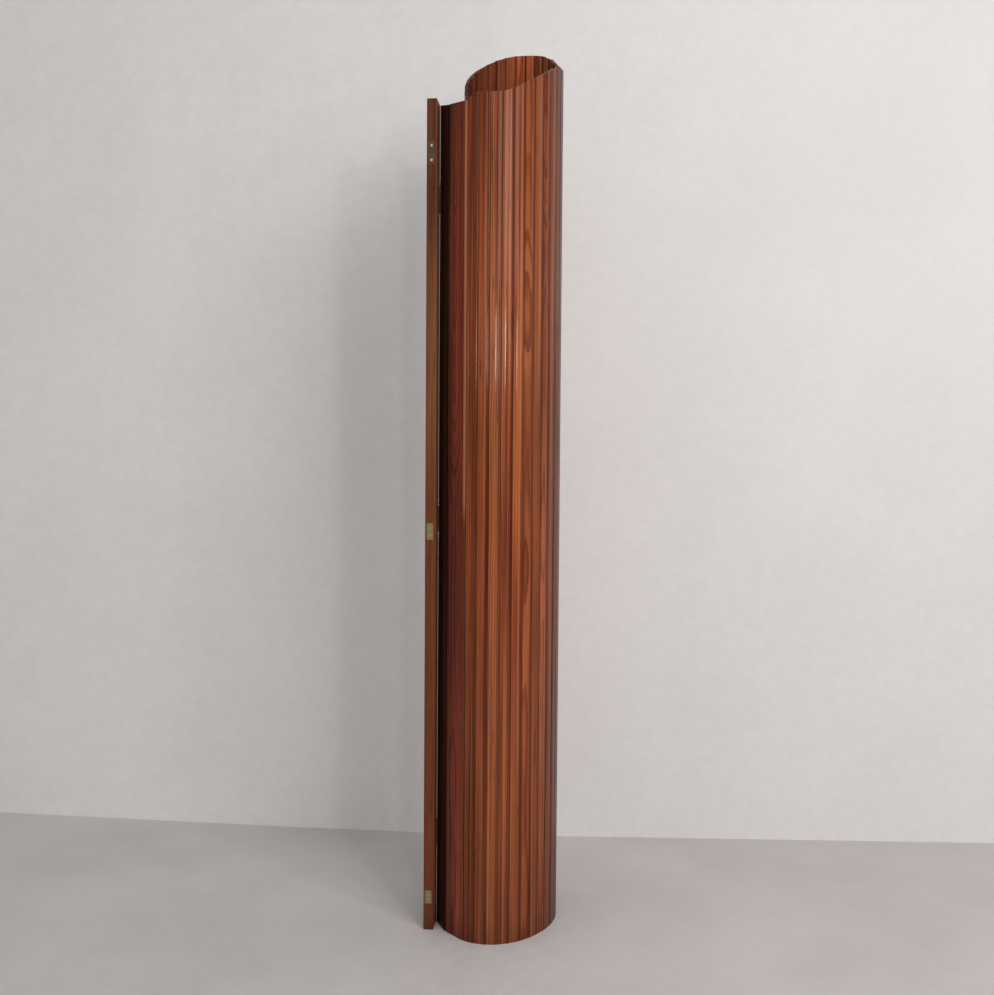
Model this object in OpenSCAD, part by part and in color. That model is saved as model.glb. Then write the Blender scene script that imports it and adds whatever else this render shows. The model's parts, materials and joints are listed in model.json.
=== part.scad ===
// Roll-up slat screen, standing as a loose roll.
// Narrow upright slats are hinged edge to edge: a round bead along one edge turns in a C-shaped
// socket in the next slat's rounded nose. The first two members are a hinge stile and a wide board.
// A thick end post hangs on the hinge stile by three butt hinges and stands folded forward.
// The top edge is cut as one wave: low at both ends of the strip, high where it goes round the back.
// Plan: X to the right, Y away from the viewer, Z up. The strip is drawn from the post's end.

/* [Slats] */
// Number of narrow slats between the wide board and the end stile
slat_count = 28; // [24:1:30]
// Distance from one slat hinge to the next
slat_pitch = 20.5; // [19:0.5:22]
// Thickness of every member of the strip
slat_t = 10.5; // [9:0.5:13]
// Width of the wide board
board_w = 48; // [40:1:56]
// Width of the inner end stile
end_stile_w = 30; // [20:1:34]
// Width of the hinge stile
stile_w = 42; // [38:1:50]
// Bevel along the edges of each face
face_bevel = 1.5; // [0.5:0.1:2]

/* [Slat hinge] */
// Radius of the bead
bead_r = 2.5; // [2:0.1:2.8]
// Running clearance between the bead and its socket
bead_gap = 0.08; // [0.04:0.01:0.1]
// Thickness of the neck that carries the bead
neck_t = 2.2; // [1.6:0.1:2.4]
// Gap between a nose and the hollow edge round it
nose_gap = 0.4; // [0.3:0.1:0.7]
// Half of the angle at which the socket is open
mouth_half_angle = 50; // [46:1:54]

/* [Top edge] */
// Height of the post
post_h = 1512; // [1200:1:1800]
// Drop from the post's top to the wide board's outer corner
board_drop = 12; // [4:1:40]
// Drop from the post's top to the wide board's inner corner
board_end_drop = 17; // [4:1:40]
// Drop from the post's top to the first slats', before the wave rises
low_drop = 7; // [0:1:40]
// Rise from the post's top to the crest of the wave
crest_rise = 146; // [100:1:220]
// Drop from the post's top to the last slats', behind the wave
end_drop = 12; // [0:1:40]
// Length of the strip, from the wide board, at which the crest lies
crest_at = 384; // [300:1:430]
// Slope of the wave's rising side
rise_slope = 0.66; // [0.4:0.02:0.8]
// Slope of the wave's falling side
fall_slope = 1.2; // [0.8:0.05:1.4]
// Roundness of the crest towards the rising side
rise_round = 95; // [20:5:120]
// Roundness of the crest towards the falling side
fall_round = 110; // [40:5:140]
// Depth of the flat hollow half way up the rising side
hollow_depth = 18; // [0:1:24]
// Length of the strip, from the wide board, at which the hollow lies
hollow_at = 255; // [200:1:280]
// Half of the hollow's length
hollow_reach = 60; // [30:5:90]

/* [Roll] */
// Direction of the hinge stile in the plan
stile_heading_angle = -68; // [-90:0.5:-45]
// Bend between the hinge stile and the wide board
stile_bend_angle = 20; // [14:0.5:22]
// Bend between the wide board and the first slat
board_bend_angle = 18; // [12:0.5:22]
// Bend of each slat hinge at the start of the roll
start_bend_angle = 17; // [12:0.1:18]
// Bend of each slat hinge a quarter of the way round
front_bend_angle = 7.2; // [6:0.1:9]
// Bend of each slat hinge half of the way round
right_bend_angle = 11; // [9:0.1:13]
// Bend of each slat hinge three quarters of the way round
back_bend_angle = 15.6; // [13:0.1:17]
// Bend of the last slat hinge
last_bend_angle = 7.3; // [1:0.1:9]

/* [Post] */
// Width of the post, across its broad face
post_w = 38; // [34:1:50]
// Thickness of the post
post_t = 18; // [16:0.5:24]
// Angle left between the post and the hinge stile when folded
post_angle = 28; // [20:1:60]
// Radius of the post's worn edges
post_round = 2; // [1:0.5:3]

/* [Butt hinges] */
// Length of each butt hinge
hinge_len = 50; // [40:1:70]
// Number of knuckles of each butt hinge
knuckles = 5; // [3:2:7]
// Radius of the knuckles
knuckle_r = 2.75; // [2.5:0.05:3.2]
// Radius of the hinge pin
pin_r = 1.3; // [1:0.05:1.5]
// Running clearance round the hinge pin
pin_gap = 0.06; // [0.03:0.01:0.1]
// Width of each leaf
leaf_w = 9.5; // [8.5:0.5:10]
// Thickness of each leaf
leaf_t = 1.4; // [1:0.1:1.6]
// Height of the middle of the lowest hinge
hinge_low = 170; // [100:1:300]
// Distance from the middle of the highest hinge to the post's top
hinge_from_top = 170; // [100:1:300]
// Clearance between the two edges when the post is swung out
edge_gap = 0.3; // [0.3:0.1:0.9]
// Distance of the pin in front of the outer faces
pin_out = 0.15; // [0.15:0.05:0.5]

/* [Keeper plates] */
// Width of the plates
plate_w = 12; // [10:0.5:14]
// Thickness of the plates
plate_t = 1.6; // [1.2:0.1:2]
// Length of the top plate
top_plate_len = 42; // [38:1:60]
// Length of the middle plate
middle_plate_len = 30; // [28:1:42]
// Length of the bottom plate
bottom_plate_len = 24; // [22:1:42]
// Distance from the post's top to the middle of the top plate
top_plate_drop = 96; // [60:1:200]
// Height of the middle of the middle plate
middle_plate_z = 735; // [500:1:900]
// Height of the middle of the bottom plate
bottom_plate_z = 61; // [40:1:200]

/* [Screws] */
// Radius of a screw's head
head_r = 2.4; // [2:0.1:2.6]
// Radius of a screw's shank
shank_r = 1.2; // [0.9:0.1:1.4]
// Length of a plate screw
plate_screw_len = 14; // [10:1:20]
// Length of a leaf screw
leaf_screw_len = 12; // [8:1:16]
// Clearance round a screw
screw_gap = 0.05; // [0.02:0.01:0.1]
// Distance of the outer screws from a plate's end
screw_inset = 8; // [6:0.5:9]

/* [Hidden] */
$fn = 64;
EPS = 0.01;
// how far a cut reaches past what it cuts
OVER = 1;
// room above the strip for cutting its top edge
HEADROOM = 400;
// how far a bead's neck is let into its slat
NECK_ROOT = 1;

FIRST_SLAT = 2;
LAST = slat_count + FIRST_SLAT;
function slat_name(n) = str("slat_", n < 10 ? "0" : "", n);

half_t = slat_t / 2;
cove_r = half_t + nose_gap;
socket_r = bead_r + bead_gap;
tip_x = sqrt(cove_r * cove_r - half_t * half_t);

// ---- plan of the roll: member 0 is the hinge stile, 1 the wide board, then the slats ----
function member_w(i) = i == 0 ? stile_w : i == 1 ? board_w : i == LAST ? end_stile_w : slat_pitch;
QUARTER_BENDS = [start_bend_angle, front_bend_angle, right_bend_angle, back_bend_angle, last_bend_angle];
function quarter(t) = min(3, floor(t * 4));
function roll_bend(t) =
    let (q = quarter(t), u = t * 4 - q)
    QUARTER_BENDS[q] + (QUARTER_BENDS[q + 1] - QUARTER_BENDS[q]) * u;
function bend(i) =
    i == 0 ? 0
    : i == 1 ? stile_bend_angle
    : i == FIRST_SLAT ? board_bend_angle
    : roll_bend((i - FIRST_SLAT) / (LAST - FIRST_SLAT));
BENDS = [for (i = [0:LAST]) bend(i)];
HEADINGS = [
    for (i = 0, h = stile_heading_angle; i <= LAST; i = i + 1, h = h + (i <= LAST ? BENDS[i] : 0)) h
];
function along(a) = [cos(a), sin(a)];
STARTS = [
    for (i = 0, p = [0, 0]; i <= LAST; p = p + member_w(i) * along(HEADINGS[i]), i = i + 1) p
];
function at_member(i, p) =
    STARTS[i] + p[0] * along(HEADINGS[i]) + p[1] * along(HEADINGS[i] + 90);

// the post turns about the pin, which lies in front of the outer faces
PIN_AT = at_member(0, [0, -half_t - pin_out]);
post_heading = stile_heading_angle - post_angle;
function at_post(p) = PIN_AT + p[0] * along(post_heading) + p[1] * along(post_heading - 90);
post_near = edge_gap / 2;
post_far = post_near + post_w;

// the origin is the middle of the whole plan, on the floor
SIDES = [[1, 0], [-1, 0], [0, 1], [0, -1]];
POST_CORNERS = [
    for (x = [post_near + post_round, post_far - post_round])
        for (y = [pin_out + post_round, pin_out + post_t - post_round])
            at_post([x, y])
];
OUTLINE = concat(
    [for (i = [0:LAST], s = [-1, 1]) at_member(i, [i == 0 ? post_near : tip_x, s * half_t])],
    [for (i = [0:LAST - 1], d = SIDES) STARTS[i + 1] + half_t * d],
    [for (p = POST_CORNERS, d = SIDES) p + post_round * d]
);
XS = [for (p = OUTLINE) p[0]];
YS = [for (p = OUTLINE) p[1]];
CENTRE = [(min(XS) + max(XS)) / 2, (min(YS) + max(YS)) / 2];

module in_member(i) {
    translate([STARTS[i][0] - CENTRE[0], STARTS[i][1] - CENTRE[1], 0])
        rotate([0, 0, HEADINGS[i]])
            children();
}

module in_post() {
    translate([PIN_AT[0] - CENTRE[0], PIN_AT[1] - CENTRE[1], 0])
        rotate([0, 0, post_heading])
            mirror([0, 1, 0])
                children();
}

// ---- the wave of the top edge, by the length of strip from the wide board ----
board_h = post_h - board_drop;
board_end_h = post_h - board_end_drop;
low_h = post_h - low_drop;
crest_h = post_h + crest_rise;
end_h = post_h - end_drop;
function strip_at(i) = max(0, i - FIRST_SLAT) * slat_pitch;
// how far the wave lies below its crest at a distance d from it: a straight slope, rounded at the top
function below_crest(d, slope, round) = slope * (sqrt(d * d + round * round) - round);
function hollow(s) = hollow_depth * max(0, 1 - pow((s - hollow_at) / hollow_reach, 2));
function wave(s) =
    s <= 0 ? board_end_h
    : s < slat_pitch ? board_end_h + (low_h - board_end_h) * s / slat_pitch
    : s < crest_at ? max(low_h, crest_h - hollow(s) - below_crest(crest_at - s, rise_slope, rise_round))
    : max(end_h, crest_h - below_crest(s - crest_at, fall_slope, fall_round));
function left_h(i) = i == 0 ? post_h : i == 1 ? board_h : wave(strip_at(i));
function right_h(i) =
    i == 0 ? board_h : i == 1 ? board_end_h : i == LAST ? end_h : wave(strip_at(i) + slat_pitch);

// ---- cross sections of the strip ----
module face_section(from, to, left_bevel, right_bevel) {
    polygon([
        [from, -half_t + left_bevel], [from + left_bevel, -half_t],
        [to - right_bevel, -half_t], [to, -half_t + right_bevel],
        [to, half_t - right_bevel], [to - right_bevel, half_t],
        [from + left_bevel, half_t], [from, half_t - left_bevel]
    ]);
}

module socket_cut(w) {
    translate([w, 0])
        circle(socket_r);
    translate([w, 0])
        polygon([
            [0, 0], slat_t * along(-mouth_half_angle), [slat_t, 0], slat_t * along(mouth_half_angle)
        ]);
}

module bead_section() {
    circle(bead_r);
    translate([0, -neck_t / 2])
        square([cove_r + NECK_ROOT, neck_t]);
}

module strip_section(w, has_bead, has_socket) {
    difference() {
        union() {
            face_section(
                has_bead ? tip_x : post_near, w, has_bead ? face_bevel : 0, has_socket ? 0 : face_bevel
            );
            if (has_socket) translate([w, 0]) circle(half_t);
        }
        if (has_bead) circle(cove_r);
        if (has_socket) socket_cut(w);
    }
    if (has_bead) bead_section();
}

// everything above the straight line from h0 at x = 0 to h1 at x = w
module above(w, h0, h1) {
    slope = (h1 - h0) / w;
    x0 = -slat_t;
    x1 = w + slat_t;
    translate([0, slat_t, 0])
        rotate([90, 0, 0])
            linear_extrude(2 * slat_t)
                polygon([
                    [x0, h0 + slope * x0], [x1, h0 + slope * x1],
                    [x1, h0 + HEADROOM + x1], [x0, h0 + HEADROOM + x1]
                ]);
}

module member(i) {
    w = member_w(i);
    difference() {
        linear_extrude(max(left_h(i), right_h(i)) + slat_t)
            strip_section(w, i > 0, i < LAST);
        above(w, left_h(i), right_h(i));
    }
}

// ---- butt hinges, in a frame with the pin at the origin and the leaf's edge along +Y ----
HINGE_Z = [hinge_low, (hinge_low + post_h - hinge_from_top) / 2, post_h - hinge_from_top];
knuckle_len = hinge_len / knuckles;
knuckle_end_gap = 0.2;
recess_gap = 0.1;
knuckle_room = 0.35;
// the leaf screws stand midway between the knuckles' room and the leaf's free edge
leaf_screw_at = (knuckle_r + knuckle_room + pin_out + leaf_w) / 2;

// a leaf lies in the wood's edge, from its outer face inwards, with its face level with the wood
module leaf(odd) {
    difference() {
        union() {
            translate([post_near, 0, -hinge_len / 2])
                cube([leaf_t, pin_out + leaf_w, hinge_len]);
            cylinder(r = knuckle_r, h = hinge_len, center = true);
        }
        for (k = [0:knuckles - 1])
            if ((k % 2 == 0) != odd)
                translate([
                    -knuckle_r - OVER,
                    -knuckle_r - OVER,
                    k * knuckle_len - hinge_len / 2 - knuckle_end_gap / 2
                ])
                    cube([
                        2 * (knuckle_r + OVER),
                        2 * knuckle_r + OVER + knuckle_room,
                        knuckle_len + knuckle_end_gap
                    ]);
        cylinder(r = pin_r + pin_gap, h = hinge_len + OVER, center = true);
        leaf_screw_places() screw_room(leaf_screw_len);
    }
}

module leaf_screw_places() {
    for (z = [-1, 0, 1])
        translate([post_near, leaf_screw_at, z * (hinge_len / 2 - screw_inset)])
            rotate([0, 90, 0])
                children();
}

// what is cut from the wood for one hinge
module leaf_room() {
    translate([post_near - OVER, 0, -hinge_len / 2 - recess_gap])
        cube([leaf_t + OVER, pin_out + leaf_w + recess_gap, hinge_len + 2 * recess_gap]);
    cylinder(r = knuckle_r + knuckle_room, h = hinge_len + 2 * OVER, center = true);
    leaf_screw_places() screw_room(leaf_screw_len);
}

module at_hinges() {
    for (z = HINGE_Z)
        translate([0, 0, z])
            children();
}

// from the hinge's frame to the hinge stile's
module on_stile() {
    translate([0, -half_t - pin_out, 0])
        children();
}

// ---- countersunk screws, driven along +Z from their head's face at z = 0 ----
head_h = head_r - shank_r;
slot_w = 0.7;
slot_d = 0.6;

module screw_body(len, gap) {
    rotate_extrude()
        polygon([
            [0, 0], [head_r + gap, 0], [shank_r + gap, head_h],
            [shank_r + gap, len - head_h + gap], [0, len + gap]
        ]);
}

module screw(len) {
    difference() {
        screw_body(len, 0);
        translate([-slot_w / 2, -head_r - OVER, -OVER])
            cube([slot_w, 2 * (head_r + OVER), slot_d + OVER]);
    }
}

module screw_room(len) {
    screw_body(len, screw_gap);
    translate([0, 0, -OVER])
        cylinder(r = head_r + screw_gap, h = OVER + EPS);
}

// ---- the post and what is let into its free edge ----
PLATES = [
    [top_plate_len, post_h - top_plate_drop],
    [middle_plate_len, middle_plate_z],
    [bottom_plate_len, bottom_plate_z]
];
post_mid = pin_out + post_t / 2;

module rounded_rect(w, d, r) {
    translate([r, 0]) square([w - 2 * r, d]);
    translate([0, r]) square([w, d - 2 * r]);
    for (x = [r, w - r], y = [r, d - r]) translate([x, y]) circle(r);
}

// the corner beside the hinge pin stays sharp
module post_section() {
    rounded_rect(post_w, post_t, post_round);
    square([2 * post_round, 2 * post_round]);
}

module plate_screw_places(len) {
    for (s = [-1, 1])
        translate([0, 0, s * (len / 2 - screw_inset)])
            rotate([0, -90, 0])
                children();
}

// a plate lies in the post's free edge, level with the wood
module plate_blank(len, gap) {
    translate([-plate_t - gap, 0, -len / 2 - gap])
        rotate([90, 0, 90])
            translate([-plate_w / 2 - gap, 0])
                linear_extrude(plate_t + gap)
                    rounded_rect(plate_w + 2 * gap, len + 2 * gap, post_round);
}

module at_plate(k) {
    translate([post_far, post_mid, PLATES[k][1]])
        children();
}

module keeper_plate(k) {
    len = PLATES[k][0];
    color("darkkhaki")
        in_post()
            at_plate(k)
                difference() {
                    plate_blank(len, 0);
                    plate_screw_places(len) screw_room(plate_screw_len);
                }
}

module end_post() {
    color("saddlebrown")
        in_post()
            difference() {
                translate([post_near, pin_out, 0])
                    linear_extrude(post_h)
                        post_section();
                at_hinges() leaf_room();
                for (k = [0:len(PLATES) - 1])
                    at_plate(k) {
                        plate_blank(PLATES[k][0], screw_gap);
                        plate_screw_places(PLATES[k][0]) screw_room(plate_screw_len);
                    }
            }
}

module keeper_screws() {
    color("gold")
        in_post()
            for (k = [0:len(PLATES) - 1])
                at_plate(k) plate_screw_places(PLATES[k][0]) screw(plate_screw_len);
}

// ---- the strip ----
module hinge_stile() {
    color("saddlebrown")
        in_member(0)
            difference() {
                member(0);
                on_stile() at_hinges() leaf_room();
            }
}

module wide_board() {
    color("sienna")
        in_member(1) member(1);
}

module slat(n) {
    color("peru")
        in_member(n - 1 + FIRST_SLAT) member(n - 1 + FIRST_SLAT);
}

module end_stile() {
    color("sienna")
        in_member(LAST) member(LAST);
}

// ---- the butt hinges' pieces ----
module post_hinge_leaves() {
    color("darkkhaki")
        in_post() at_hinges() leaf(true);
}

module stile_hinge_leaves() {
    color("darkkhaki")
        in_member(0) on_stile() at_hinges() leaf(false);
}

module hinge_pins() {
    color("goldenrod")
        in_member(0) on_stile() at_hinges()
            cylinder(r = pin_r, h = hinge_len, center = true);
}

module post_leaf_screws() {
    color("gold")
        in_post() at_hinges() leaf_screw_places() screw(leaf_screw_len);
}

module stile_leaf_screws() {
    color("gold")
        in_member(0) on_stile() at_hinges() leaf_screw_places() screw(leaf_screw_len);
}

end_post();
hinge_stile();
wide_board();
for (n = [1:slat_count])
    slat(n);
end_stile();
post_hinge_leaves();
stile_hinge_leaves();
hinge_pins();
post_leaf_screws();
stile_leaf_screws();
keeper_plate(0);  // top_keeper_plate
keeper_plate(1);  // middle_keeper_plate
keeper_plate(2);  // bottom_keeper_plate
keeper_screws();
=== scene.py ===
import json
import math

import bpy
from mathutils import Euler, Matrix, Vector

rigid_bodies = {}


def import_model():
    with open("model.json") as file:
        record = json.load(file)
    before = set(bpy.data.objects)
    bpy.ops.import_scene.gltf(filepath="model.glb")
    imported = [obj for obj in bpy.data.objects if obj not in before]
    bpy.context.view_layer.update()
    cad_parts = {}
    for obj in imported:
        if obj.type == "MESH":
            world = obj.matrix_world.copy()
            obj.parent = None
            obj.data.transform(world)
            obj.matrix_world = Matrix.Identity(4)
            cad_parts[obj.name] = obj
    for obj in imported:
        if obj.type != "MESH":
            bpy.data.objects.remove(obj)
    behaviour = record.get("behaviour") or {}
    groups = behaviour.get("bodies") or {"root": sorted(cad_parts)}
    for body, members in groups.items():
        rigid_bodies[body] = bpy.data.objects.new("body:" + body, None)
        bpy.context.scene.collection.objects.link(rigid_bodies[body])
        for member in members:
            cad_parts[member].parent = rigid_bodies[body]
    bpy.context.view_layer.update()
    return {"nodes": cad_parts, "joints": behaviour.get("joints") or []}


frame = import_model()

# ---------------------------------------------------------------- plan of the strip, from the frame
STRIP = ["hinge_stile", "wide_board"] + sorted(n for n in frame["nodes"] if n[:5] == "slat_")
STRIP.append("end_stile")
JOINTS = {frozenset((j["parent"], j["child"])): tuple(j["pos_m"][:2]) for j in frame["joints"]}
HINGES = [JOINTS[frozenset(pair)] for pair in zip(STRIP, STRIP[1:])]
PIN = JOINTS[frozenset(("hinge_stile", "end_post"))]
# what no joint tells: headings and the last bend in degrees, widths in metres
STILE_HEADING, POST_HEADING, LAST_BEND = -68.0, -96.0, 7.3
STILE_WIDTH, END_STILE_WIDTH, POST_WIDTH = 0.042, 0.030, 0.0384


def heading(a, b):
    """The direction from a to b in degrees, seen from above."""
    return math.degrees(math.atan2(b[1] - a[1], b[0] - a[0]))


def strip_place(i):
    """Where member i of the strip starts in the plan, its direction in degrees, and its width."""
    if i == 0:
        d = math.radians(STILE_HEADING)
        start = (HINGES[0][0] - STILE_WIDTH * math.cos(d), HINGES[0][1] - STILE_WIDTH * math.sin(d))
        return start, STILE_HEADING, STILE_WIDTH
    if i < len(HINGES):
        # the frame's places are rounded to a micrometre, so their distance is too
        width = round(math.dist(HINGES[i - 1], HINGES[i]), 5)
        return HINGES[i - 1], heading(HINGES[i - 1], HINGES[i]), width
    return HINGES[-1], heading(HINGES[-2], HINGES[-1]) + LAST_BEND, END_STILE_WIDTH


# ---------------------------------------------------------------- small numbers and colours
def spread(low, high, share):
    """The number that lies a share of the way from low to high."""
    return low + (high - low) * share


def between(keys, x):
    """The value at x on the line through the keys, each (x, value)."""
    for (a, low), (b, high) in zip(keys, keys[1:]):
        if x <= b:
            return spread(low, high, max(0.0, x - a) / (b - a))
    return keys[-1][1]


def hashed(i, k):
    """The k-th fixed number of piece i, from 0 to 1."""
    return math.modf(abs(math.sin(i * 12.9898 + k * 78.233) * 43758.5453))[0]


def shaded(colour, amount, more=0.0):
    """The colour made lighter or darker, with the same amount of light added to each channel."""
    return tuple(amount * c + more for c in colour)


def toned(base, amount, warm):
    """The same wood, lighter or darker, and yellower or redder: warm moves green, and blue more."""
    scale = (amount, amount * (1.0 + warm), amount * (1.0 + 1.6 * warm))
    return {k: tuple(c * s for c, s in zip(v, scale)) for k, v in base.items()}


# ---------------------------------------------------------------- small node-tree helper
class Tree:
    """Builds a material's nodes. A socket argument is a constant or another node's output."""

    def __init__(self, name):
        self.mat = bpy.data.materials.new(name)
        self.mat.use_nodes = True
        self.nodes, self.links = self.mat.node_tree.nodes, self.mat.node_tree.links
        self.nodes.clear()

    def put(self, socket, value):
        if isinstance(value, bpy.types.NodeSocket):
            self.links.new(value, socket)
        elif value is not None:
            socket.default_value = value

    def node(self, kind, inputs=(), **settings):
        n = self.nodes.new("ShaderNode" + kind)
        for k, v in settings.items():
            setattr(n, k, v)
        for k, v in dict(inputs).items():
            self.put(n.inputs[k], v)
        return n

    def math(self, op, a, b=None, clamp=False):
        return self.node("Math", {0: a, 1: b}, operation=op, use_clamp=clamp).outputs[0]

    def add(self, a, b, clamp=False):
        return self.math("ADD", a, b, clamp)

    def minus(self, a, b, clamp=False):
        return self.math("SUBTRACT", a, b, clamp)

    def times(self, a, b):
        return self.math("MULTIPLY", a, b)

    def span(self, value, a, b, c=0.0, d=1.0, smooth=True):
        """value taken from the range a to b into the range c to d, held at both ends."""
        kind = "SMOOTHSTEP" if smooth else "LINEAR"
        return self.node("MapRange", {0: value, 1: a, 2: b, 3: c, 4: d}, interpolation_type=kind).outputs[0]

    def mix(self, factor, a, b, blend="MIX"):
        n = self.node("Mix", data_type="RGBA", blend_type=blend)
        for k, v in ((0, factor), (6, a), (7, b)):
            self.put(n.inputs[k], v if isinstance(v, (bpy.types.NodeSocket, float)) else (*v, 1.0))
        return n.outputs[2]

    def scale_colour(self, colour, factor):
        """The colour with each channel multiplied by the same number."""
        return self.mix(1.0, colour, self.node("CombineXYZ", {0: factor, 1: factor, 2: factor}).outputs[0],
                        blend="MULTIPLY")

    def noise(self, vector, scale, detail=2.0, rough=0.5):
        return self.node("TexNoise", {"Vector": vector, "Scale": scale, "Detail": detail,
                                      "Roughness": rough}).outputs[0]

    def stretch(self, vector, sx, sy, sz, at=(0.0, 0.0, 0.0)):
        """vector with each axis multiplied, then moved."""
        return self.node("Mapping", {"Vector": vector, "Location": at, "Scale": (sx, sy, sz)}).outputs[0]

    def split(self, vector):
        return self.node("SeparateXYZ", {0: vector}).outputs

    def ramp(self, value, stops):
        """A colour that goes with value, from 0 to 1. stops are (value, colour), the lowest first."""
        n = self.node("ValToRGB", {0: value})
        n.color_ramp.interpolation = "EASE"
        elements = n.color_ramp.elements
        for at, colour in stops[1:-1]:
            elements.new(at).color = (*colour, 1.0)
        for end, (at, colour) in ((elements[0], stops[0]), (elements[-1], stops[-1])):
            end.position, end.color = at, (*colour, 1.0)
        return n.outputs[0]

    def bump(self, height, strength, distance, normal=None):
        return self.node("Bump", {"Strength": strength, "Distance": distance, "Height": height,
                                  "Normal": normal}).outputs[0]

    def worn_edges(self, radius):
        """Near 1 on a sharp edge, 0 on a flat face, where the cosine between the two normals is 1."""
        soft = self.node("Bevel", {"Radius": radius}, samples=4).outputs[0]
        true = self.node("NewGeometry").outputs["True Normal"]
        cosine = self.node("VectorMath", {0: soft, 1: true}, operation="DOT_PRODUCT").outputs["Value"]
        return self.span(cosine, 0.995, 0.8)

    def finish(self, clear_back=False, **sockets):
        """Closes the tree with a shader. clear_back makes a face clear, seen from behind."""
        shader = self.node("BsdfPrincipled")
        for k, v in sockets.items():
            self.put(shader.inputs[k.replace("_", " ")], v)
        surface = shader.outputs[0]
        if clear_back:
            behind = self.node("NewGeometry").outputs["Backfacing"]
            clear = self.node("BsdfTransparent").outputs[0]
            surface = self.node("MixShader", {0: behind, 1: surface, 2: clear}).outputs[0]
        self.links.new(surface, self.node("OutputMaterial").inputs[0])
        return self.mat


# ---------------------------------------------------------------- wood
# marks in the wood: their number to a metre across, through and along a member
FIBRE, STREAK, PATCH = (900.0, 900.0, 9.0), (130.0, 60.0, 1.5), (12.0, 12.0, 2.4)
FLECK, THIN, RIPPLE = (240.0, 240.0, 14.0), (230.0, 90.0, 1.1), (70.0, 70.0, 2.0)
# sizes in metres
RING_WOBBLE = 0.006  # how far a year's ring strays
CROWN, RIPPLE_DEPTH = 0.0009, 0.00035  # how far a face's middle stands out, and the plane's ripple on it
ROLL_WIDTH, ROLL_DEPTH = 0.0035, 0.0005  # where a face rolls off along each groove, and how deep
RAISED_GRAIN = 0.0003
CORNER = 0.0012  # the wear on a sharp corner
GRIME_FULL, GRIME_END, GRIME_UNEVEN = 0.0004, 0.0028, 0.003  # the dirt along each groove
SCUFFED = 0.05  # the height of the scuffed foot
POST_SHADE_WIDTH = 0.036  # the width of the wide board's painted shade, next to the folded post
EDGE_HIGHLIGHT_FULL, EDGE_HIGHLIGHT_END = 0.0014, 0.0024  # how near the wide board's far edge the painted highlight lies
EDGE_HIGHLIGHT_FROM, EDGE_HIGHLIGHT_ABOVE = 0.74, 0.80  # the heights between which the painted highlight grows stronger
COAT_CHANGE = 0.002  # half the depth in which the varnish changes from the outside's to the inside's
INSIDE_COAT = 0.03
# the colour of the painted highlight along the wide board's far edge
EDGE_HIGHLIGHT_COLOUR = (0.46, 0.20, 0.11)


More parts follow.
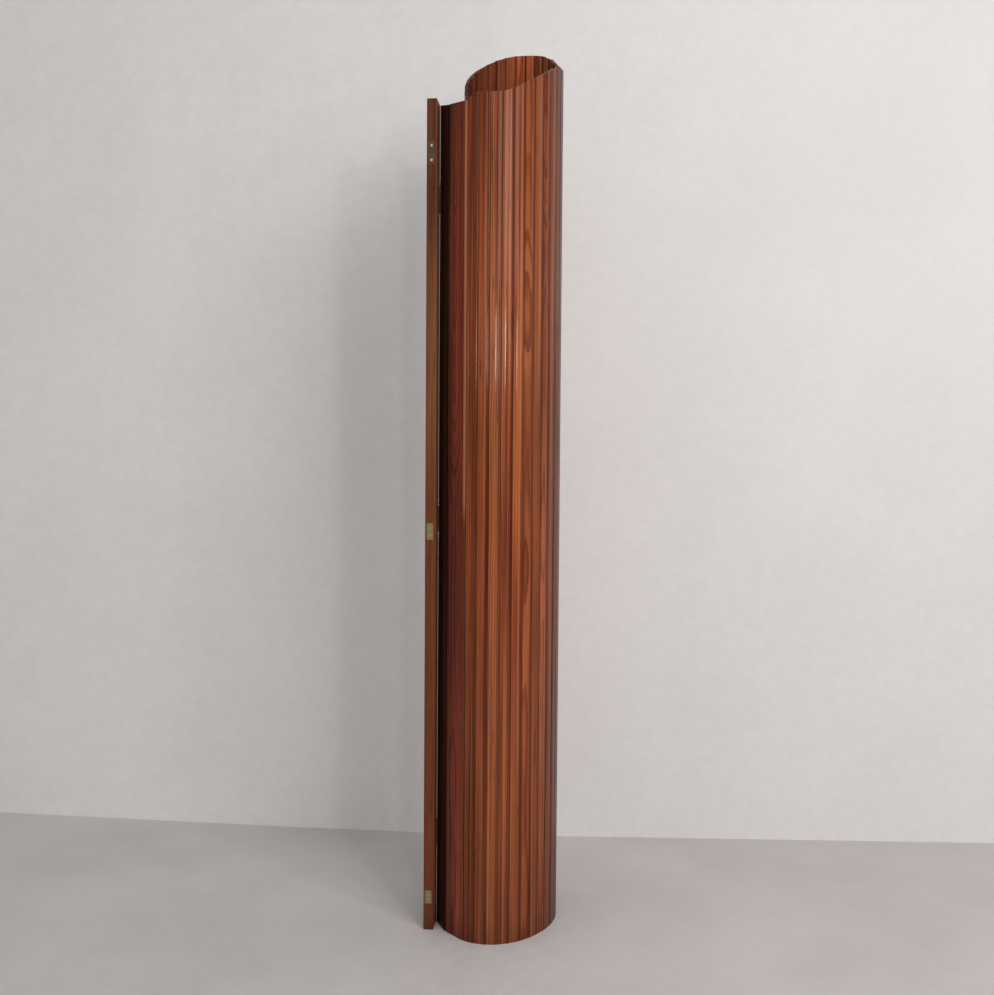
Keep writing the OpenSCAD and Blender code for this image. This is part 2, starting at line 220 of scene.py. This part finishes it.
class Wood(Tree):
    """A material that follows one member: u across it from its start, v through it and z up, in metres."""

    def __init__(self, name, start, direction, width, seed):
        super().__init__(name)
        here = self.node("TexCoord").outputs["Object"]
        self.local = self.node("Mapping", {"Vector": here, "Location": (*start, 0.0),
                                           "Rotation": (0.0, 0.0, math.radians(direction))},
                               vector_type="TEXTURE").outputs[0]
        self.u, self.v, self.z = self.split(self.local)
        self.width, self.seed = width, seed
        self.offset = (seed * 3.7, seed * 1.9, seed * 7.3)
        self.fibre = self.marks(FIBRE, 2.0, 0.6)
        self.streaks = self.marks(STREAK, 3.0, 0.6)
        self.patch = self.marks(PATCH, 3.0, 0.6)
        self.edge = self.math("MINIMUM", self.u, self.minus(width, self.u))
        # upward faces are end grain; below they are painted darker, partly as painted shade
        upward = self.split(self.node("NewGeometry").outputs["True Normal"])[2]
        self.end_grain_and_shade = self.span(upward, 0.15, 0.6)

    def marks(self, spacing, detail, rough=0.5, offset=None):
        """Noise from 0 to 1, with as many marks to a metre as spacing says."""
        return self.noise(self.stretch(self.local, *spacing, offset or self.offset), 1.0, detail, rough)

    def late_wood(self, pith, ring):
        """The dark part of each year's ring, from 0 to 1, round a wandering pith."""
        across, behind, tilt, sway = pith
        slow = self.noise(self.stretch(self.local, 1.0, 1.0, 1.0, self.offset), 2.6, 1.0)
        wobble = self.noise(self.stretch(self.local, 14.0, 14.0, 1.6, self.offset), 2.2, 2.0)
        du = self.minus(self.u, across)
        dv = self.minus(self.add(self.v, self.times(self.z, tilt)),
                       self.add(behind, self.times(self.minus(slow, 0.5), sway)))
        r = self.math("SQRT", self.add(self.times(du, du), self.times(dv, dv)))
        years = self.math("DIVIDE", self.add(r, self.times(wobble, RING_WOBBLE)), ring)
        part = self.math("FRACT", years)
        late = self.times(self.span(part, 0.35, 0.86), self.span(part, 1.0, 0.93))
        # each ring has its own depth of colour
        year = self.add(self.math("FLOOR", years), self.seed * 11.0)
        own = self.node("TexWhiteNoise", {"W": year}, noise_dimensions="1D").outputs[0]
        return self.times(late, self.span(own, 0.0, 1.0, 0.45, 1.0))

    def grain(self, rings, light, dark, streak, drift):
        """The colour of clean wood, with its rings, streaks, fibres, flecks, patches and thin varnish."""
        flecks = self.span(self.marks(FLECK, 1.0), 0.66, 0.74)
        a, b, c = self.offset
        thin = self.span(self.marks(THIN, 2.0, offset=(c, a, b)), 0.50, 0.64, 0.0, 0.58)
        colour = self.mix(rings, light, dark)
        colour = self.mix(self.span(self.streaks, 0.42, 0.66, 0.0, 0.85), colour, streak)
        colour = self.mix(self.span(self.fibre, 0.3, 0.75, 0.0, 0.30), colour, dark)
        colour = self.mix(self.times(flecks, 0.45), colour, shaded(dark, 0.35))
        colour = self.scale_colour(colour, self.span(self.patch, 0.25, 0.75, 0.72, 1.28, smooth=False))
        colour = self.mix(thin, colour, shaded(light, 1.30, 0.012))
        # the drift with height; on the slats it holds a painted reflection at chest height
        if drift:
            height = self.math("DIVIDE", self.z, DRIFT_TOP, clamp=True)
            colour = self.mix(1.0, colour, self.ramp(height, drift), blend="MULTIPLY")
        return colour

    def painted_edge_highlight(self):
        """1 where a painted highlight lies along the far edge of the wide board, where that edge catches the
        light.
        """
        return self.times(self.span(self.u, self.width - EDGE_HIGHLIGHT_END, self.width - EDGE_HIGHLIGHT_FULL),
                       self.span(self.z, EDGE_HIGHLIGHT_FROM, EDGE_HIGHLIGHT_ABOVE, 0.10, 0.6))

    def face(self):
        """Planed faces are a little crowned and rippled, and roll off towards both grooves."""
        side = self.math("DIVIDE", self.minus(self.u, self.width / 2), self.width / 2)
        roll = self.math("POWER", self.span(self.edge, ROLL_WIDTH, 0.0, smooth=False), 2.0)
        crown = self.add(self.times(self.times(side, side), -CROWN), self.times(roll, -ROLL_DEPTH))
        ripple = self.times(self.marks(RIPPLE, 1.0), RIPPLE_DEPTH)
        return self.bump(self.add(crown, ripple), 1.0, 1.0)


def wood(name, place, light, dark, streak, seed, pith, ring, gloss=0.34, rings=0.75, coat=0.28,
         drift=None, board=False):
    """Varnished pine or fir. place is (start, direction, width). pith is (across, behind, tilt, sway): where
    the middle of the tree lies from the member's start, in metres, how fast it runs off with height, and how
    much it wanders. rings is how dark the rings are, and coat the weight of the varnish."""
    t = Wood(name, *place, seed)
    late = t.late_wood(pith, ring)
    colour = t.grain(t.times(late, rings), light, dark, streak, drift)
    if board:
        # painted shade and light: the wide board is darker next to the folded post, which shades it, and
        # lighter away from it
        colour = t.scale_colour(colour, t.span(t.u, 0.0, POST_SHADE_WIDTH, 0.50, 1.28))

    # dirt and old varnish at both long edges, wear on the sharp ones
    grime = t.span(t.add(t.edge, t.times(t.minus(t.streaks, 0.5), GRIME_UNEVEN)), GRIME_END, GRIME_FULL)
    colour = t.mix(t.times(grime, 0.55), colour, shaded(dark, 0.22))
    worn = t.times(t.worn_edges(CORNER), t.minus(1.0, t.end_grain_and_shade))
    colour = t.mix(t.times(worn, t.span(t.patch, 0.4, 0.7, 0.05, 0.45)), colour, shaded(light, 1.5, 0.03))
    if board:
        # painted highlight along the wide board's far edge, which catches the light
        colour = t.mix(t.painted_edge_highlight(), colour, EDGE_HIGHLIGHT_COLOUR)

    # the foot is scuffed, and the upward faces, which are end grain, are darker: partly the end grain's own
    # colour, partly painted shade against the light they catch from above
    foot = t.times(t.span(t.z, SCUFFED, 0.0), t.span(t.patch, 0.35, 0.65))
    colour = t.mix(t.times(foot, 0.45), colour, shaded(dark, 0.3))
    colour = t.mix(t.times(t.end_grain_and_shade, 0.80), colour, shaded(dark, 0.45))

    rough = t.add(gloss, t.span(t.fibre, 0.2, 0.8, -0.04, 0.10))
    rough = t.add(rough, t.span(t.patch, 0.3, 0.7, -0.05, 0.09))
    rough = t.add(rough, t.times(worn, 0.2), clamp=True)
    grain = t.add(t.times(late, 0.5), t.times(t.fibre, 0.6))
    face = t.face()
    return t.finish(Base_Color=colour, Roughness=rough, Normal=t.bump(grain, 0.30, RAISED_GRAIN, face),
                    Specular_IOR_Level=0.04, Coat_Normal=face, Coat_Roughness=0.10,
                    Coat_Weight=t.span(t.v, -COAT_CHANGE, COAT_CHANGE, coat, INSIDE_COAT))


# colours of early wood, late wood and streaks. SHADY is painted shade for the hinge stile, which lies in deep
# shadow beside the post, BROWN for the post
PINE = dict(light=(0.385, 0.112, 0.036), dark=(0.125, 0.020, 0.008), streak=(0.175, 0.026, 0.010))
RED = dict(light=(0.215, 0.042, 0.015), dark=(0.062, 0.011, 0.005), streak=(0.092, 0.014, 0.007))
SHADY = dict(light=(0.050, 0.013, 0.007), dark=(0.014, 0.004, 0.002), streak=(0.021, 0.005, 0.003))
BROWN = dict(light=(0.340, 0.130, 0.052), dark=(0.150, 0.045, 0.022), streak=(0.210, 0.055, 0.030))
# how light the slats are along the strip: (slat number, amount). The low amounts of the first slats, which
# face away from the light, are painted shade
SLAT_TONE_AND_SHADE = [(1, 0.66), (2, 0.74), (3, 0.86), (4, 0.86), (5, 0.94), (6, 0.84), (7, 0.82), (8, 0.88), (9, 0.76),
         (10, 0.40), (13, 0.41), (15, 0.64), (16, 0.74), (17, 1.02), (18, 1.22), (19, 1.32), (20, 0.96),
         (21, 0.60), (22, 0.52), (28, 0.48)]
# how a colour drifts with height: (height as a share of DRIFT_TOP, factor for red, green and blue)
DRIFT_TOP = 1.6
# painted reflection: the slats are paler and bluer at chest height, where the varnish mirrors the window's
# lights, and darker towards the bottom and the top
SLAT_SHEEN_DRIFT = [(0.0, (0.78, 0.76, 0.80)), (0.16, (0.93, 0.92, 0.92)), (0.38, (0.97, 0.91, 0.90)),
              (0.55, (1.02, 1.02, 1.01)), (0.72, (1.20, 1.30, 1.46)), (0.86, (0.95, 0.98, 1.03)),
              (1.0, (0.84, 0.80, 0.84))]
# one slat on the right is darker in its upper half
DARK_TOPPED_SLAT = "slat_08"
DARK_TOP_DRIFT = [(0.0, (0.80, 0.78, 0.80)), (0.30, (0.97, 0.94, 0.94)), (0.50, (0.96, 0.94, 0.94)),
               (0.64, (0.68, 0.62, 0.68)), (0.86, (0.62, 0.56, 0.64)), (1.0, (0.60, 0.54, 0.62))]
# the wide board is purplish and darker round its middle
BOARD_DRIFT = [(0.0, (0.98, 1.0, 1.0)), (0.24, (0.98, 0.90, 0.92)), (0.36, (0.72, 0.66, 0.86)),
               (0.50, (0.76, 0.76, 0.92)), (0.60, (1.0, 1.04, 1.04)), (0.80, (1.0, 1.06, 1.04)),
               (1.0, (0.80, 0.90, 1.0))]
# the post is redder low down, tan above its middle and dark near the top
POST_DRIFT = [(0.0, (0.80, 0.66, 0.68)), (0.30, (1.0, 0.74, 0.72)), (0.52, (1.06, 0.98, 0.92)),
              (0.62, (1.18, 1.20, 1.20)), (0.74, (1.08, 1.12, 1.15)), (0.86, (0.72, 0.70, 0.75)),
              (1.0, (0.62, 0.58, 0.66))]
# the share of the slats that show straight grain lines, not arches
QUARTER_SAWN = 0.6


def paint(node, material):
    o = frame["nodes"][node]
    if not o.data.materials:
        o.data.materials.append(material)
    for k in range(len(o.data.materials)):
        o.data.materials[k] = material


def slat_look(i, member):
    """What sets one slat apart from the next: its tone, with painted shade on the first slats, its pith, the
    width of its rings and its gloss.
    """
    lightness, warmth, cut, across, behind, tilt, ring, gloss = (hashed(i, k) for k in range(1, 9))
    # a quarter-sawn slat has the pith far to its side, a flat-sawn one close behind it
    pith = (spread(-0.05, -0.09, across), spread(0.0, 0.03, behind), spread(-0.004, 0.004, tilt), 0.02)
    if cut > QUARTER_SAWN:
        pith = (spread(0.004, 0.016, across), spread(0.016, 0.036, behind), spread(-0.006, 0.006, tilt), 0.03)
    # the amount holds painted shade for the first slats by the board
    amount = between(SLAT_TONE_AND_SHADE, int(member[-2:])) * spread(0.94, 1.06, lightness)
    # for all slats but one, the drift holds a painted reflection at chest height
    return dict(toned(PINE, amount, spread(-0.12, 0.12, warmth)), seed=20.0 + 1.7 * i, pith=pith,
                ring=spread(0.0024, 0.0040, ring), gloss=spread(0.30, 0.40, gloss),
                drift=DARK_TOP_DRIFT if member == DARK_TOPPED_SLAT else SLAT_SHEEN_DRIFT)


BOARD_LOOK = dict(RED, seed=4.0, pith=(0.021, 0.022, 0.014, 0.05), ring=0.0042, rings=0.9, gloss=0.38,
                  board=True, drift=BOARD_DRIFT)
STILE_LOOK = dict(ring=0.0030, pith=(-0.03, 0.05, 0.004, 0.02), coat=0.04)
POST_LOOK = dict(BROWN, seed=2.0, pith=(0.09, 0.03, 0.01, 0.03), ring=0.0036, gloss=0.42, coat=0.06,
                 drift=POST_DRIFT)
# the hinge stile's colours are painted shade
LOOKS = {"wide_board": BOARD_LOOK, "hinge_stile": dict(STILE_LOOK, seed=9.0, **SHADY),
         "end_stile": dict(STILE_LOOK, seed=8.0 + len(STRIP), **RED)}
for i, member in enumerate(STRIP):
    name = "wood_board" if member == "wide_board" else "wood_" + member
    paint(member, wood(name, strip_place(i), **(LOOKS.get(member) or slat_look(i, member))))
paint("end_post", wood("wood_post", (PIN, POST_HEADING, POST_WIDTH), **POST_LOOK))

# ---------------------------------------------------------------- brass
# in metres: damp has dulled the fittings below one height and none above the other, and corners are rubbed
DAMP, DRY, RUBBED = 1.0, 1.1, 0.0004


def brass(name, metal, tarnish, cover, rough, seed, metallic=1.0, low=None):
    """Old brass: metal shows where it is rubbed, a dull crust lies over the rest. low is the crust's colour
    on the fittings lower down, which damp has dulled."""
    t = Tree(name)
    here = t.node("TexCoord").outputs["Object"]
    moved = t.stretch(here, 1.0, 1.0, 1.0, (seed, seed * 2.0, seed * 3.0))
    blotch, fine = t.noise(moved, 260.0, 4.0, 0.6), t.noise(moved, 1500.0, 2.0)
    crust = t.span(blotch, 0.62 - 0.35 * cover, 0.75 - 0.30 * cover)
    crust = t.minus(crust, t.worn_edges(RUBBED), clamp=True)
    if low:
        height = t.split(here)[2]
        tarnish = t.mix(t.span(height, DAMP, DRY), low, tarnish)
        crust = t.math("MAXIMUM", crust, t.span(height, DRY, DAMP, 0.0, 0.85))
    shine = t.span(fine, 0.3, 0.7, 0.8, 1.1, smooth=False)
    return t.finish(Base_Color=t.scale_colour(t.mix(crust, metal, tarnish), shine),
                    Metallic=t.span(crust, 0.0, 1.0, metallic, 0.25),
                    Roughness=t.add(rough, t.times(crust, 0.3), clamp=True),
                    Normal=t.bump(t.add(blotch, fine), 0.3, 0.0001))


VERDIGRIS = (0.250, 0.200, 0.075)
PLATE = brass("brass_plate", (0.26, 0.17, 0.09), (0.10, 0.055, 0.026), 0.95, 0.42, 1.0, low=VERDIGRIS)
HINGE = brass("brass_hinge", (0.42, 0.30, 0.12), (0.14, 0.09, 0.04), 0.8, 0.35, 2.0)
SCREW = brass("brass_screw", (0.95, 0.72, 0.56), (0.50, 0.34, 0.22), 0.10, 0.30, 3.0, metallic=0.45,
              low=VERDIGRIS)
FITTINGS = [(PLATE, ("top_keeper_plate", "middle_keeper_plate", "bottom_keeper_plate")),
            (HINGE, ("post_hinge_leaves", "stile_hinge_leaves", "hinge_pins")),
            (SCREW, ("post_leaf_screws", "stile_leaf_screws", "keeper_screws"))]
for metal, nodes in FITTINGS:
    for node in nodes:
        paint(node, metal)

# ---------------------------------------------------------------- stage: pale floor and wall
# the wall's foot in the plan, along the line where the photo's floor ends, and its height
WALL_FOOT = [(-6.0, 1.146), (-1.209, 0.533), (-0.499, 0.451), (0.0, 0.405), (1.141, 0.377), (6.0, 0.296)]
WALL_HEIGHT, FLOOR_REACH = 4.5, 6.0


def plain(name, colour, mottle, clear_back=False):
    """Paint or screed: one colour, a little mottled."""
    t = Tree(name)
    here = t.node("TexCoord").outputs["Object"]
    large, small = t.noise(here, 3.0, 4.0, 0.6), t.noise(here, 45.0, 3.0, 0.6)
    tone = t.add(t.span(large, 0.3, 0.7, 1.0 - mottle, 1.0 + mottle), t.span(small, 0.3, 0.7, -0.02, 0.02))
    return t.finish(clear_back, Base_Color=t.scale_colour(colour, tone),
                    Roughness=t.span(small, 0.3, 0.7, 0.55, 0.75), Normal=t.bump(small, 0.2, 0.001))


def stage_mesh(name, points, faces, material):
    mesh = bpy.data.meshes.new(name)
    mesh.from_pydata(points, [], faces)
    mesh.materials.append(material)
    o = bpy.data.objects.new(name, mesh)
    bpy.context.scene.collection.objects.link(o)


corners = [(FLOOR_REACH * x, FLOOR_REACH * y, 0) for x, y in ((-1, -1), (1, -1), (1, 1), (-1, 1))]
stage_mesh("stage_floor", corners, [(0, 1, 2, 3)], plain("stage_floor", (0.57, 0.54, 0.53), 0.05))
wall_points = [(x, y, z) for x, y in WALL_FOOT for z in (0.0, WALL_HEIGHT)]
wall_faces = [(2 * k, 2 * k + 2, 2 * k + 3, 2 * k + 1) for k in range(len(WALL_FOOT) - 1)]
# seen from behind the wall is clear, so that views of the back show the object
stage_mesh("stage_wall", wall_points, wall_faces,
           plain("stage_wall", (0.750, 0.736, 0.728), 0.02, clear_back=True))


# ---------------------------------------------------------------- light
def lamp(name, at, towards, size, watts, colour):
    data = bpy.data.lights.new(name, "AREA")
    data.shape, data.size, data.size_y = "RECTANGLE", size[0], size[1]
    data.energy, data.color = watts, colour
    o = bpy.data.objects.new(name, data)
    o.location = at
    o.rotation_euler = (Vector(at) - Vector(towards)).to_track_quat("Z", "Y").to_euler()
    bpy.context.scene.collection.objects.link(o)


lamp("key", (1.9, -2.7, 2.6), (0.0, 0.0, 0.9), (1.8, 1.8), 47.0, (1.0, 0.98, 0.96))
# a window's three narrow lights, which the varnish mirrors at chest height: (place, watts)
WINDOW = [((0.36, -2.7, 1.36), 7.2), ((1.05, -2.5, 1.36), 5.4), ((1.95, -1.9, 1.34), 4.2)]
for k, (at, watts) in enumerate(WINDOW):
    lamp("window_%d" % k, at, (0.0, 0.0, 1.05), (0.13, 0.28), watts, (1.0, 0.90, 0.83))

# the room that the varnish mirrors is darker than the light that fills the scene
ROOM_LIGHT, ROOM_MIRRORED = 0.6, 0.12
world = bpy.data.worlds.new("studio")
world.use_nodes = True
sky = world.node_tree
background = sky.nodes["Background"]
background.inputs["Color"].default_value = (0.97, 0.985, 1.0, 1.0)
ray = sky.nodes.new("ShaderNodeLightPath")
strength = sky.nodes.new("ShaderNodeMapRange")
sky.links.new(ray.outputs["Is Glossy Ray"], strength.inputs["Value"])
strength.inputs["To Min"].default_value = ROOM_LIGHT
strength.inputs["To Max"].default_value = ROOM_MIRRORED
sky.links.new(strength.outputs[0], background.inputs["Strength"])

# ---------------------------------------------------------------- camera, as fitted to the photo
CAMERA_AT, TILT, ROLL, LENS, SENSOR = (0.0058, -1.8794, 0.861), 88.0, 0.4, 36.217, 36.0
scene = bpy.context.scene
scene.world = world
camera = bpy.data.objects.new("camera", bpy.data.cameras.new("camera"))
camera.data.sensor_width, camera.data.lens, camera.data.sensor_fit = SENSOR, LENS, "HORIZONTAL"
turn = Euler((math.radians(TILT), 0.0, 0.0)).to_matrix() @ Matrix.Rotation(math.radians(ROLL), 3, "Z")
camera.rotation_euler = turn.to_euler()
camera.location = CAMERA_AT
scene.collection.objects.link(camera)
scene.camera = camera
scene.view_settings.view_transform = "Standard"
